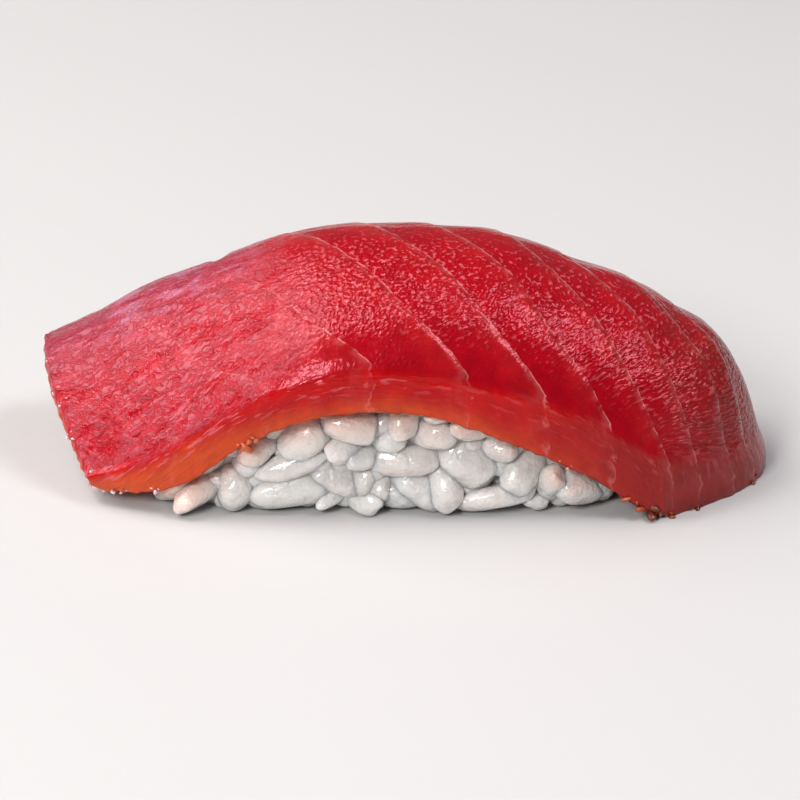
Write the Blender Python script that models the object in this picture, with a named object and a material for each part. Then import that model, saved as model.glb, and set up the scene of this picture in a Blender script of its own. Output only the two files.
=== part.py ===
# Tuna nigiri: a thick slice of raw tuna draped over a hand-pressed ball of rice.
# The sizes are in millimetres; every mesh is scaled to metres once it has its shape.
# X runs along the slice, -Y is the front, Z is up and the rice stands on Z = 0.

import math
import random

import bmesh
import bpy
from mathutils import Matrix, Vector

MM = 0.001

# Slice: heights and widths at stations, each pair being (place, size).
SLICE_THICK = 7.0
SLICE_STRIPS = (48, 16, 4)
CREST_HEIGHT = ((-40, 11.4), (-34, 14.7), (-29, 17.8), (-24, 19.85), (-18, 22.4), (-10, 25.0),
                (-3, 25.75), (4, 25.6), (11, 24.85), (18, 22.3), (25, 19.75), (31, 16.2),
                (35, 14.8), (40, 12.0))
FRONT_FOOT = ((-34, 1.4), (-28, 2.3), (-22.5, 4.4), (-17, 8.7), (-10.5, 12.0), (-4, 13.0),
              (3, 12.3), (11, 9.2), (19, 5.3), (27, 0.3), (31, 0.0))
FRONT_FACE = ((-34, 1.8), (-28, 4.2), (-22, 6.0), (-15, 5.4), (-5, 5.4), (5, 5.8), (15, 7.2),
              (27, 7.9), (33, 6.4), (36, 5.4), (40, 3.6))
BACK_FOOT = ((-40, 1.5), (-28, 4.0), (-14, 9.5), (0, 11.0), (14, 8.5), (26, 2.5), (34, 0.0))
BACK_FACE = ((20, 7.0), (28, 7.0), (34, 6.6), (37, 5.0), (40, 3.6))
END_DROP = ((20, 0.0), (23, 0.0), (28, 3.0), (33, 9.0), (40, 9.0))
LEFT_EDGE = ((-1, -33.4), (-0.6, -36.2), (-0.2, -38.0), (0.25, -39.2), (0.6, -39.5), (1, -38.6))
RIGHT_EDGE = ((-1, 27.3), (-0.75, 32.5), (-0.45, 36.8), (-0.1, 39.0), (0.4, 38.0), (1, 34.5))
FRONT_EDGE = ((-1, -8.8), (-0.8, -11.4), (-0.5, -13.0), (0.2, -13.4), (1, -12.6))
BACK_EDGE = ((-1, 12.5), (-0.5, 14.5), (0.3, 15.0), (1, 13.0))
RIDGE_ACROSS = ((-40, 0.34), (-24, 0.28), (-8, 0.12), (5, 0.06))
SHOULDER = 0.92
FRONT_LEAN = ((-40, 0.9), (-22, 0.8), (-8, 0.35), (6, 0.0))
LEAN_POWER = 1.35
BACK_REACH = 0.9
TIP_SHOULDER = 0.97
TIP_START = 0.82
TIP_LEAN = 0.8
CUT_LEAN = 1.8
RIM_ROUNDING = 0.35
SIDE_BULGE = 0.25

# Flakes of muscle: thin seams of sinew cross the slice on a slant.
SEAMS = (-35.0, -25.3, -14.7, -4.8, 4.0, 11.3, 18.8, 25.0, 32.0, 37.0)
SEAM_SLANT = ((-1, 10.5), (-0.8, 6.1), (-0.3, 0.0), (0.2, -5.5), (1, -11.0))
FLAKE_RISE = 0.3

# Rice ball.
RICE_STRIPS = (84, 36, 22)
RICE_THINNING = 0.23
RICE_LENGTH = 49.4
RICE_WIDTH = 24.6
RICE_CENTRE = (-2.1, 0.1)
RICE_CORNER = 8.0
RICE_WAIST = 0.7
BASE_TRIM = 0.05
SLICE_GAP = 0.32
GRAIN_HALF = (3.5, 1.4, 1.25)
GRAIN_ROWS = 5
GRAIN_ROW_RISE = 2.8
GRAIN_STEP = 6.3
GRAIN_DEPTH = 0.8
GRAIN_RECESS = 0.55
GRAIN_SEED = 11


# Value at one place of the smooth curve that passes through the stations.
def through(stations, place):
    place = min(max(place, stations[0][0]), stations[-1][0])
    steps = [(b[0] - a[0], (b[1] - a[1]) / (b[0] - a[0])) for a, b in zip(stations, stations[1:])]
    piece = 0
    while piece < len(steps) - 1 and place > stations[piece + 1][0]:
        piece += 1

    def slope(knot):
        if knot == 0:
            return steps[0][1]
        if knot == len(steps):
            return steps[-1][1]
        before, after = steps[knot - 1], steps[knot]
        return (before[1] * after[0] + after[1] * before[0]) / (before[0] + after[0])

    width = steps[piece][0]
    t = (place - stations[piece][0]) / width
    start, end = stations[piece][1], stations[piece + 1][1]
    return ((1 + 2 * t) * (1 - t) ** 2 * start + t * (1 - t) ** 2 * width * slope(piece)
            + t * t * (3 - 2 * t) * end + t * t * (t - 1) * width * slope(piece + 1))


def blend(a, b, share):
    return a + (b - a) * share


def ramp(value, start, end):
    t = min(max((value - start) / (end - start), 0.0), 1.0)
    return t * t * (3 - 2 * t)


# Arch that is 1 at 0 and 0 at 1; a tightness near 1 makes its shoulder square.
def arch(distance, tightness):
    foot = math.sqrt(1 - tightness ** 2)
    return (math.sqrt(max(1 - (tightness * distance) ** 2, 0.0)) - foot) / (1 - foot)


# Slice -------------------------------------------------------------------

# Place seen from above of a share along the slice and a share across it, both -1 to 1.
def slicePlan(along, across):
    x = blend(through(LEFT_EDGE, across), through(RIGHT_EDGE, across), (along + 1) / 2)
    y = blend(through(FRONT_EDGE, along), through(BACK_EDGE, along), (across + 1) / 2)
    return x, y


# Shares along and across that slicePlan turns into one place.
def sliceShares(x, y):
    along, across = 0.0, 0.0
    for _ in range(8):
        front, back = through(FRONT_EDGE, along), through(BACK_EDGE, along)
        across = min(max(2 * (y - front) / (back - front) - 1, -1.0), 1.0)
        left, right = through(LEFT_EDGE, across), through(RIGHT_EDGE, across)
        along = min(max(2 * (x - left) / (right - left) - 1, -1.0), 1.0)
    return along, across


# Rise of the flake between two seams, highest midway.
def flakeRise(x, across):
    place = x - through(SEAM_SLANT, across)
    for start, end in zip(SEAMS, SEAMS[1:]):
        if start <= place <= end:
            t = (place - start) / (end - start)
            return FLAKE_RISE * 4 * t * (1 - t)
    return 0.0


# Share of the crest's height left at one place: an arch across the slice, except that
# towards the left end the front leans down to its rim like a board.
def sliceDome(x, along, across):
    ridge = through(RIDGE_ACROSS, x)
    if across > ridge:
        dome = arch((across - ridge) / (1 - ridge) * BACK_REACH, SHOULDER)
    else:
        toRim = (ridge - across) / (1 + ridge)
        dome = blend(arch(toRim, SHOULDER), 1 - toRim ** LEAN_POWER, through(FRONT_LEAN, x))
    toTip = min(max((along - TIP_START) / (1 - TIP_START), 0.0), 1.0)
    return dome * arch(toTip, TIP_SHOULDER)


def sliceTop(along, across):
    x = slicePlan(along, across)[0]
    front = through(FRONT_FOOT, x) + through(FRONT_FACE, x)
    back = through(BACK_FOOT, x) + through(BACK_FACE, x)
    rim = blend(front, back, ramp(across - through(RIDGE_ACROSS, x), -0.31, 0.29))
    return rim + (through(CREST_HEIGHT, x) - rim) * sliceDome(x, along, across)


def sliceUnder(along, across):
    x = slicePlan(along, across)[0]
    side = through(FRONT_FACE if across < 0 else BACK_FACE, x)
    middle = max(SLICE_THICK, side) + through(END_DROP, x)
    thick = blend(side, middle, 1 - across * across)
    return max(sliceTop(along, across) - thick, 0.0)


# Block of 2 x 2 x 2 whose faces are cut into strips along each axis.
def stripBlock(strips):
    block = bmesh.new()
    bmesh.ops.create_cube(block, size=2.0)
    for axis, count in enumerate(strips):
        runs = [e for e in block.edges if abs(e.verts[0].co[axis] - e.verts[1].co[axis]) > 1.9]
        bmesh.ops.subdivide_edges(block, edges=runs, cuts=count - 1, use_grid_fill=True)
    return block


def buildSlice():
    block = stripBlock(SLICE_STRIPS)
    for vert in block.verts:
        t, side, level = vert.co
        along = t + 0.09 * (1 - t * t) * (1 + t)
        across = math.sin(1.1 * side) / math.sin(1.1)
        # each side is plump halfway up and drawn in where it turns over into the top
        shrink = RIM_ROUNDING * max(level, 0.0) ** 4
        plump = SIDE_BULGE * (1 - level * level)
        x, y = slicePlan(along, across)
        low, high = sliceUnder(along, across), sliceTop(along, across) + flakeRise(x, across)
        height = (level + 1) / 2
        x += along * (plump - shrink) - TIP_LEAN * ramp(along, 0.6, 1.0) * height
        # the cut left end is undercut, least of all at its front corner
        x += CUT_LEAN * ramp(-along, 0.7, 1.0) * (1 - height) * blend(0.35, 1.0, ramp(across, -1, -0.5))
        y += across * (plump - shrink)
        vert.co = Vector((x, y, blend(low, high, height)))
    return block


# Rice --------------------------------------------------------------------

# Point on the wall of the ball, seen from above, in the direction of a unit square's rim.
def ricePlan(a, b):
    reach = max(abs(a), abs(b), 1e-6)
    half = Vector((RICE_LENGTH / 2, RICE_WIDTH / 2))
    point = Vector((a / reach * half.x, b / reach * half.y))
    core = Vector((half.x - RICE_CORNER, half.y - RICE_CORNER))
    past = Vector((max(abs(point.x) - core.x, 0.0), max(abs(point.y) - core.y, 0.0)))
    if past.length > RICE_CORNER:
        past *= RICE_CORNER / past.length
        point.x = math.copysign(core.x + past.x, point.x) if past.x > 0 else point.x
        point.y = math.copysign(core.y + past.y, point.y) if past.y > 0 else point.y
    outward = Vector((math.copysign(past.x, point.x), math.copysign(past.y, point.y)))
    return point, outward.normalized()


# Spot on a unit square's rim for a distance round the ball, from its front left corner.
def rimSpot(distance):
    sides = ((-1, -1, 2, 0, RICE_LENGTH), (1, -1, 0, 2, RICE_WIDTH),
             (1, 1, -2, 0, RICE_LENGTH), (-1, 1, 0, -2, RICE_WIDTH))
    for a, b, runA, runB, length in sides:
        if distance <= length:
            break
        distance -= length
    share = min(distance / length, 1.0)
    return a + runA * share, b + runB * share


# Grains of rice that lie in rows along the wall, each as its centre and a matrix that
# turns it into a ball of radius 1.
def wallGrains():
    dice = random.Random(GRAIN_SEED)
    grains = []
    around = 2 * (RICE_LENGTH + RICE_WIDTH)
    count = round(around / GRAIN_STEP)
    for row in range(GRAIN_ROWS):
        for step in range(count):
            place = (step + 0.5 + 0.5 * (row % 2) + dice.uniform(-0.2, 0.2)) / (count + 1)
            point, outward = ricePlan(*rimSpot(around * place))
            depth = GRAIN_DEPTH + dice.uniform(-0.35, 0.35)
            level = 1.3 + row * GRAIN_ROW_RISE + dice.uniform(-0.4, 0.4)
            centre = Vector((point.x, point.y, level)) - depth * outward.to_3d()
            heading = math.atan2(outward.y, outward.x) + math.pi / 2 + dice.gauss(0, 0.35)
            turn = Matrix.Rotation(heading, 3, "Z") @ Matrix.Rotation(dice.gauss(0, 0.5), 3, "Y")
            size = Matrix.Diagonal([1 / half * dice.uniform(0.9, 1.1) for half in GRAIN_HALF])
            grains.append((centre, size @ turn.transposed()))
    return grains


# How far the outermost grain stands out of the wall at one point.
def grainRelief(grains, point, outward):
    relief = -GRAIN_RECESS
    for centre, toBall in grains:
        if (centre - point).length > 5.0:
            continue
        start = toBall @ (point - centre)
        run = toBall @ outward
        lift = run.dot(run)
        inside = start.dot(run) ** 2 - lift * (start.dot(start) - 1)
        if inside > 0:
            relief = max(relief, (math.sqrt(inside) - start.dot(run)) / lift)
    return relief


# The same solid with fewer triangles, most of them kept where it is uneven.
def thinned(block, share):
    mesh = bpy.data.meshes.new("dense")
    block.to_mesh(mesh)
    block.free()
    dense = bpy.data.objects.new("dense", mesh)
    bpy.context.scene.collection.objects.link(dense)
    collapse = dense.modifiers.new("collapse", "DECIMATE")
    collapse.ratio = share
    result = dense.evaluated_get(bpy.context.evaluated_depsgraph_get())
    thin = bmesh.new()
    thin.from_mesh(result.to_mesh())
    result.to_mesh_clear()
    bpy.data.objects.remove(dense)
    return thin


def buildRice():
    block = stripBlock(RICE_STRIPS)
    grains = wallGrains()
    centre = Vector(RICE_CENTRE)
    for vert in block.verts:
        a, b, level = vert.co
        reach = max(abs(a), abs(b))
        wall, outward = ricePlan(a, b)
        height = (level + 1) / 2
        below = wall + centre
        roof = sliceUnder(*sliceShares(below.x, below.y)) - SLICE_GAP
        point = Vector((wall.x, wall.y, height * roof))
        relief = grainRelief(grains, point, outward.to_3d()) - RICE_WAIST * abs(level) ** 3
        place = centre + (wall + outward * relief) * reach
        roof = sliceUnder(*sliceShares(place.x, place.y)) - SLICE_GAP
        vert.co = Vector((place.x, place.y, height * roof))
    block = thinned(block, RICE_THINNING)
    for vert in block.verts:
        if vert.co.z < BASE_TRIM:
            vert.co.z = 0.0
    return block


# Object ------------------------------------------------------------------

def addNode(name, block, colour, roughness, collection):
    bmesh.ops.recalc_face_normals(block, faces=block.faces)
    bmesh.ops.scale(block, vec=(MM, MM, MM), verts=block.verts)
    mesh = bpy.data.meshes.new(name)
    block.to_mesh(mesh)
    block.free()
    material = bpy.data.materials.new(name)
    material.use_nodes = True
    shader = material.node_tree.nodes["Principled BSDF"]
    shader.inputs["Base Color"].default_value = colour
    shader.inputs["Roughness"].default_value = roughness
    shader.inputs["Metallic"].default_value = 0.0
    mesh.materials.append(material)
    node = bpy.data.objects.new(name, mesh)
    collection.objects.link(node)
    return node


# Moves the pieces together so that the middle of their box stands over the origin.
def centreOverOrigin(nodes):
    corners = [vert.co for node in nodes for vert in node.data.vertices]
    middle = [(min(c[axis] for c in corners) + max(c[axis] for c in corners)) / 2 for axis in (0, 1)]
    for node in nodes:
        node.data.transform(Matrix.Translation((-middle[0], -middle[1], 0.0)))


def build():
    for leftover in list(bpy.data.objects):
        bpy.data.objects.remove(leftover)
    nigiri = bpy.data.collections.new("tuna_nigiri")
    bpy.context.scene.collection.children.link(nigiri)
    tuna = addNode("tuna_slice", buildSlice(), (0.42, 0.022, 0.028, 1.0), 0.32, nigiri)
    rice = addNode("rice_ball", buildRice(), (0.66, 0.63, 0.58, 1.0), 0.38, nigiri)
    centreOverOrigin([tuna, rice])


build()
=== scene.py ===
import math
import random

import bmesh
import bpy
import numpy as np
from mathutils import Matrix, Vector, noise


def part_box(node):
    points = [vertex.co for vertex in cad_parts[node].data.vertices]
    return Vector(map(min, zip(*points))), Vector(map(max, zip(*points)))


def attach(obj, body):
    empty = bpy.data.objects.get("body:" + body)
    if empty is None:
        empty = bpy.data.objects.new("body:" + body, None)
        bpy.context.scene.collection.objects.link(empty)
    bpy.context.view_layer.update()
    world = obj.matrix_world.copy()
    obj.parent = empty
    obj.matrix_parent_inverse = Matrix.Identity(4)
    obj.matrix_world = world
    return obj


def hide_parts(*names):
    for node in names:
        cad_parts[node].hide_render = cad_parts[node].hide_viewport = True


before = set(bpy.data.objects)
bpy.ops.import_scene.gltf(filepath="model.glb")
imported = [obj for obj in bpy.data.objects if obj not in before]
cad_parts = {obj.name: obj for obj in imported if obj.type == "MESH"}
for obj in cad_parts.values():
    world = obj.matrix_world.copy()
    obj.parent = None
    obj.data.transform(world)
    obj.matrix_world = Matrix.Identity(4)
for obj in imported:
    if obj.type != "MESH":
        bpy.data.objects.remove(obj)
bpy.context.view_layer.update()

mm = 0.001


# curves and ramps that every piece uses

def through(stations, at):
    # smooth curve through (place, value) stations, read at many places at once
    xs = np.array([s[0] for s in stations], float)
    ys = np.array([s[1] for s in stations], float)
    gaps = np.diff(xs)
    rises = np.diff(ys) / gaps
    slopes = np.empty(len(xs))
    slopes[0], slopes[-1] = rises[0], rises[-1]
    slopes[1:-1] = (rises[:-1] * gaps[1:] + rises[1:] * gaps[:-1]) / (gaps[1:] + gaps[:-1])
    at = np.clip(np.asarray(at, float), xs[0], xs[-1])
    i = np.clip(np.searchsorted(xs, at, side="right") - 1, 0, len(xs) - 2)
    t = (at - xs[i]) / gaps[i]
    return ((1 + 2 * t) * (1 - t) ** 2 * ys[i] + t * (1 - t) ** 2 * gaps[i] * slopes[i]
            + t * t * (3 - 2 * t) * ys[i + 1] + t * t * (t - 1) * gaps[i] * slopes[i + 1])


def ramp(value, start, end):
    t = np.clip((np.asarray(value, float) - start) / (end - start), 0.0, 1.0)
    return t * t * (3 - 2 * t)


def blend(a, b, share):
    return a + (b - a) * share


def arch(distance, tightness):
    # 1 at 0 and 0 at 1, with a shoulder that gets square as tightness nears 1
    foot = math.sqrt(1 - tightness ** 2)
    return (np.sqrt(np.maximum(1 - (tightness * distance) ** 2, 0.0)) - foot) / (1 - foot)


def roughen(points, size, stretch=(1, 1, 1), seed=0.0):
    # smooth random values from -1 to 1 at every point, for lumps about size mm across
    sx, sy, sz = (1 / (size * s) for s in stretch)
    return np.array([noise.noise((x * sx + seed, y * sy - seed, z * sz + 0.5 * seed))
                     for x, y, z in points])


def stripBlock(strips):
    # block of 2 x 2 x 2 whose faces are cut into strips along each axis
    block = bmesh.new()
    bmesh.ops.create_cube(block, size=2.0)
    for axis, count in enumerate(strips):
        runs = [e for e in block.edges if abs(e.verts[0].co[axis] - e.verts[1].co[axis]) > 1.9]
        bmesh.ops.subdivide_edges(block, edges=runs, cuts=count - 1, use_grid_fill=True)
    return block


def meshFrom(block, name):
    mesh = bpy.data.meshes.new(name)
    block.to_mesh(mesh)
    block.free()
    return mesh


def readPoints(mesh, what="co"):
    flat = np.empty(len(mesh.vertices) * 3)
    if what == "co":
        mesh.vertices.foreach_get("co", flat)
    else:
        mesh.vertex_normals.foreach_get("vector", flat)
    return flat.reshape(-1, 3)


def writePoints(mesh, points):
    mesh.vertices.foreach_set("co", points.astype(np.float32).ravel())
    mesh.update()


def keep(mesh, name, *columns):
    # stores three numbers at each vertex, for the materials
    layer = mesh.attributes.new(name, "FLOAT_VECTOR", "POINT")
    layer.data.foreach_set("vector", np.stack(columns, 1).astype(np.float32).ravel())


def addPiece(mesh, material, slotName, *nodes):
    for polygon in mesh.polygons:
        polygon.use_smooth = True
    mesh.materials.clear()
    mesh.materials.append(material)
    piece = bpy.data.objects.new(mesh.name, mesh)
    bpy.context.scene.collection.objects.link(piece)
    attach(piece, "root")
    if nodes:
        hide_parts(*nodes)
    return piece


# shader nodes

def put(tree, kind, inputs=None, **settings):
    node = tree.nodes.new(kind)
    for key, value in settings.items():
        setattr(node, key, value)
    for key, value in (inputs or {}).items():
        if isinstance(value, bpy.types.NodeSocket):
            tree.links.new(value, node.inputs[key])
        else:
            node.inputs[key].default_value = value
    return node


def calc(tree, operation, a, b=None, clamp=False):
    inputs = {i: v for i, v in enumerate((a, b)) if v is not None}
    return put(tree, "ShaderNodeMath", inputs, operation=operation, use_clamp=clamp).outputs[0]


def between(tree, value, low, high, toLow=0.0, toHigh=1.0):
    # smooth ramp from toLow to toHigh while value goes from low to high
    inputs = {"Value": value, "From Min": low, "From Max": high, "To Min": toLow, "To Max": toHigh}
    return put(tree, "ShaderNodeMapRange", inputs, interpolation_type="SMOOTHSTEP").outputs[0]


def mixColour(tree, share, a, b, way="MIX"):
    inputs = {0: share, 6: a, 7: b}
    return put(tree, "ShaderNodeMix", inputs, data_type="RGBA", blend_type=way).outputs[2]


def mixValue(tree, share, a, b):
    return put(tree, "ShaderNodeMix", {0: share, 2: a, 3: b}).outputs[0]


def cloud(tree, where, size, detail=2.0, roughness=0.5, distortion=0.0):
    # noise whose lumps are about size units across, 0 to 1
    inputs = {"Vector": where, "Scale": 1 / size, "Detail": detail,
              "Roughness": roughness, "Distortion": distortion}
    return put(tree, "ShaderNodeTexNoise", inputs).outputs["Fac"]


def moved(tree, where, scale=(1, 1, 1), turn=0.0, by=(0, 0, 0)):
    inputs = {"Vector": where, "Scale": scale, "Rotation": (0, 0, turn), "Location": by}
    return put(tree, "ShaderNodeMapping", inputs).outputs[0]


def stored(tree, name):
    # the three numbers that the mesh keeps under one name
    node = put(tree, "ShaderNodeAttribute", attribute_name=name)
    parts = put(tree, "ShaderNodeSeparateXYZ", {0: node.outputs["Vector"]})
    return node.outputs["Vector"], parts.outputs[0], parts.outputs[1], parts.outputs[2]


def startMaterial(name):
    material = bpy.data.materials.new(name)
    material.use_nodes = True
    tree = material.node_tree
    return material, tree, tree.nodes["Principled BSDF"]


def addBump(tree, shader, height):
    # height in millimetres
    bump = put(tree, "ShaderNodeBump", {"Height": height, "Distance": mm, "Strength": 1.0})
    tree.links.new(bump.outputs["Normal"], shader.inputs["Normal"])


# slice of tuna: heights and widths in millimetres at stations along it or across it

tuna = {
    "strips": (184, 66, 10),
    "thick": 7.0,
    "crest": ((-40, 11.4), (-34, 14.7), (-29, 17.8), (-24, 19.85), (-18, 22.4), (-10, 25.0),
              (-3, 25.75), (4, 25.6), (11, 24.85), (18, 22.3), (25, 19.75), (31, 16.2),
              (35, 14.8), (40, 12.0)),
    "frontFoot": ((-34, 1.4), (-28, 2.3), (-22.5, 4.4), (-17, 8.7), (-10.5, 12.0), (-4, 13.0),
                  (3, 12.3), (11, 9.2), (19, 5.3), (27, 0.3), (31, 0.0)),
    "frontFace": ((-34, 1.8), (-28, 4.2), (-22, 6.0), (-15, 5.4), (-5, 5.4), (5, 5.8),
                  (15, 7.2), (27, 7.9), (33, 6.4), (36, 5.4), (40, 3.6)),
    "backFoot": ((-40, 1.5), (-28, 4.0), (-14, 9.5), (0, 11.0), (14, 8.5), (26, 2.5), (34, 0.0)),
    "backFace": ((20, 7.0), (28, 7.0), (34, 6.6), (37, 5.0), (40, 3.6)),
    "endDrop": ((20, 0.0), (23, 0.0), (28, 3.0), (33, 9.0), (40, 9.0)),
    "leftEdge": ((-1, -33.4), (-0.6, -36.2), (-0.2, -38.0), (0.25, -39.2), (0.6, -39.5), (1, -38.6)),
    "rightEdge": ((-1, 27.3), (-0.75, 32.5), (-0.45, 36.8), (-0.1, 39.0), (0.4, 38.0), (1, 34.5)),
    "frontEdge": ((-1, -8.8), (-0.8, -11.4), (-0.5, -13.0), (0.2, -13.4), (1, -12.6)),
    "backEdge": ((-1, 12.5), (-0.5, 14.5), (0.3, 15.0), (1, 13.0)),
    "ridgeAcross": ((-40, 0.34), (-24, 0.28), (-8, 0.12), (5, 0.06)),
    "frontLean": ((-40, 0.9), (-22, 0.8), (-8, 0.35), (6, 0.0)),
    "leanPower": 1.35,
    "backReach": 0.9,
    "shoulder": 0.92,
    "tipShoulder": 0.97,
    "tipStart": 0.82,
    "tipLean": 0.8,
    "cutLean": 1.8,
    "rimRounding": 0.35,
    # the rim is eased in steps towards the right: from x on, this many passes
    "easedRim": ((0.0, 5), (7.0, 7), (14.0, 10)),
    "sideBulge": 0.25,
    # seams of sinew between the flakes, where they cross a line a third in from the front
    "seams": (-44.0, -34.5, -24.6, -14.0, -3.9, 4.1, 11.3, 18.6, 25.0, 32.0, 36.5, 43.0),
    "seamSlant": ((-1, 10.5), (-0.8, 6.1), (-0.3, 0.0), (0.2, -5.5), (1, -11.0)),
    "flakeRise": 0.20,
    "flakeDrop": 0.7,
    # where the back edge is nicked
    "nick": (-20.2, 9.0),
}


def slicePlan(along, across):
    x = blend(through(tuna["leftEdge"], across), through(tuna["rightEdge"], across), (along + 1) / 2)
    y = blend(through(tuna["frontEdge"], along), through(tuna["backEdge"], along), (across + 1) / 2)
    return x, y


def sliceShares(x, y):
    # the inverse of slicePlan
    x, y = np.asarray(x, float), np.asarray(y, float)
    along, across = np.zeros_like(x), np.zeros_like(x)
    for _ in range(8):
        front, back = through(tuna["frontEdge"], along), through(tuna["backEdge"], along)
        across = np.clip(2 * (y - front) / (back - front) - 1, -1.0, 1.0)
        left, right = through(tuna["leftEdge"], across), through(tuna["rightEdge"], across)
        along = np.clip(2 * (x - left) / (right - left) - 1, -1.0, 1.0)
    return along, across


def sliceDome(x, along, across):
    # an arch across the slice; towards the left end its front leans down like a board
    ridge = through(tuna["ridgeAcross"], x)
    toBack = np.clip((across - ridge) / (1 - ridge), 0.0, 1.0)
    toRim = np.clip((ridge - across) / (1 + ridge), 0.0, 1.0)
    lean = through(tuna["frontLean"], x)
    front = blend(arch(toRim, tuna["shoulder"]), 1 - toRim ** tuna["leanPower"], lean)
    back = arch(toBack * tuna["backReach"], tuna["shoulder"])
    toTip = np.clip((along - tuna["tipStart"]) / (1 - tuna["tipStart"]), 0.0, 1.0)
    return np.where(across > ridge, back, front) * arch(toTip, tuna["tipShoulder"])


def sliceTop(along, across):
    x = slicePlan(along, across)[0]
    front = through(tuna["frontFoot"], x) + through(tuna["frontFace"], x)
    back = through(tuna["backFoot"], x) + through(tuna["backFace"], x)
    rim = blend(front, back, ramp(across - through(tuna["ridgeAcross"], x), -0.31, 0.29))
    return rim + (through(tuna["crest"], x) - rim) * sliceDome(x, along, across)


def sliceUnder(along, across):
    x = slicePlan(along, across)[0]
    side = np.where(across < 0, through(tuna["frontFace"], x), through(tuna["backFace"], x))
    middle = np.maximum(tuna["thick"], side) + through(tuna["endDrop"], x)
    thick = blend(side, middle, 1 - across * across)
    return np.maximum(sliceTop(along, across) - thick, 0.0)


def underSlice(x, y):
    return sliceUnder(*sliceShares(x, y))


def flakePlace(x, across):
    # how far a point is from its flake's left seam, 0 to 1, and the flake's width
    seams = np.array(tuna["seams"])
    place = np.clip(x - through(tuna["seamSlant"], across), seams[0], seams[-1] - 1e-6)
    flake = np.searchsorted(seams, place, side="right") - 1
    width = seams[flake + 1] - seams[flake]
    return (place - seams[flake]) / width, width


def skinPlace(along, across, down):
    # where a point lies on the skin of the slice once that is peeled off and laid flat:
    # millimetres along it and across it, running on over the rims and down the sides
    steps = np.linspace(-1, 1, 81)
    x, y = slicePlan(steps, np.full(81, -0.3))
    z = sliceTop(steps, np.full(81, -0.3))
    run = np.concatenate([[0], np.cumsum(np.hypot(np.diff(x), np.diff(z)))])
    u = np.interp(along, steps, run - run[40])
    v = np.empty_like(u)
    for row in np.unique(along):
        here = along == row
        x, y = slicePlan(np.full(81, row), steps)
        z = sliceTop(np.full(81, row), steps)
        run = np.concatenate([[0], np.cumsum(np.hypot(np.diff(y), np.diff(z)))])
        v[here] = np.interp(across[here], steps, run - run[40])
    overEnd = np.abs(along) > 0.999
    u += np.where(overEnd, np.sign(along) * down, 0.0)
    v += np.where(overEnd, 0.0, np.sign(across) * down)
    return u, v


def buildSliceMesh():
    block = stripBlock(tuna["strips"])
    # the sides and the top are cut twice as fine as the underside
    shown = [e for e in block.edges if max(v.co.z for v in e.verts) > -0.99]
    bmesh.ops.subdivide_edges(block, edges=shown, cuts=1, use_grid_fill=True)
    mesh = meshFrom(block, "tunaSlice")
    t, side, level = readPoints(mesh).T
    along = t + 0.09 * (1 - t * t) * (1 + t)
    across = np.sin(1.1 * side) / math.sin(1.1)
    shrink = tuna["rimRounding"] * np.maximum(level, 0.0) ** 4
    plump = tuna["sideBulge"] * (1 - level * level)
    x, y = slicePlan(along, across)
    height = (level + 1) / 2
    low, high = sliceUnder(along, across), sliceTop(along, across)
    z = blend(low, high, height)
    flake, width = flakePlace(x, across)
    keep(mesh, "place", x, y, z)
    x = x + along * (plump - shrink) - tuna["tipLean"] * ramp(along, 0.6, 1.0) * height
    x += tuna["cutLean"] * ramp(-along, 0.7, 1.0) * (1 - height) * blend(0.35, 1.0, ramp(across, -1, -0.5))
    y = y + across * (plump - shrink)
    writePoints(mesh, np.stack([x, y, z], 1))
    nearRim = (level > 0.3) & (np.maximum(np.abs(along), np.abs(across)) > 0.88)
    block = bmesh.new()
    block.from_mesh(mesh)
    block.verts.ensure_lookup_table()
    for start, passes in tuna["easedRim"]:
        eased = [block.verts[i] for i in np.nonzero(nearRim & (x > start))[0]]
        for turn in range(passes):
            bmesh.ops.smooth_vert(block, verts=eased, factor=0.5, use_axis_x=True, use_axis_y=True,
                                  use_axis_z=True)
    block.to_mesh(mesh)
    block.free()

    down = (1 - height) * (high - low)
    u, v = skinPlace(along, across, down)
    skin = np.stack([u, v, 0 * u], 1)
    top = ramp(level, 0.6, 1.0)
    onSide = 1 - top
    # each flake climbs towards its right seam, then steps down
    climb = blend(0.15, 1.0, ramp(flake, 0.05, 0.8)) * ramp((1 - flake) * width, 0.0, tuna["flakeDrop"])
    relief = top * tuna["flakeRise"] * (climb - 0.4) * blend(0.45, 1.0, ramp(x, -20, 5))
    relief += 0.13 * roughen(skin, 7.0, (1.3, 1, 1), 3.1)
    relief += 0.07 * roughen(skin, 2.4, (2.0, 1, 1), 8.7)
    relief += blend(0.03, 0.02, onSide) * roughen(skin, 0.9, (1.8, 1, 1), 21.3)
    # long shallow furrows run along the left half
    furrow = np.abs(roughen(skin, 2.2, (4.0, 1, 1), 33.0))
    relief -= top * 0.10 * ramp(-x, 2, 16) * (1 - ramp(furrow, 0.0, 0.12))
    nickX, nickY = tuna["nick"]
    relief -= 0.55 * np.exp(-((x - nickX) / 0.7) ** 2) * ramp(y, nickY - 3, nickY)
    # the cut rims are a little ragged
    rag = roughen(np.stack([x, y, z], 1), 0.8, (1, 1, 1), 55.0)
    underRim = ramp(-level, 0.55, 1.0) * ramp(np.maximum(np.abs(side), np.abs(t)), 0.96, 1.0)
    relief += 0.22 * rag * underRim
    relief += 0.30 * rag * ramp(-t, 0.985, 1.0)
    points, normals = readPoints(mesh), readPoints(mesh, "normal")
    points += normals * relief[:, None]
    points[:, 2] = np.maximum(points[:, 2], 0.0)
    writePoints(mesh, points)
    angle = 2 * math.pi * flake
    keep(mesh, "skin", u, v, down)
    keep(mesh, "flake", np.cos(angle), np.sin(angle), width)
    keep(mesh, "edge", onSide, down / np.maximum(high - low, 0.5), relief)
    return mesh, np.stack([along, across, level], 1)


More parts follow.
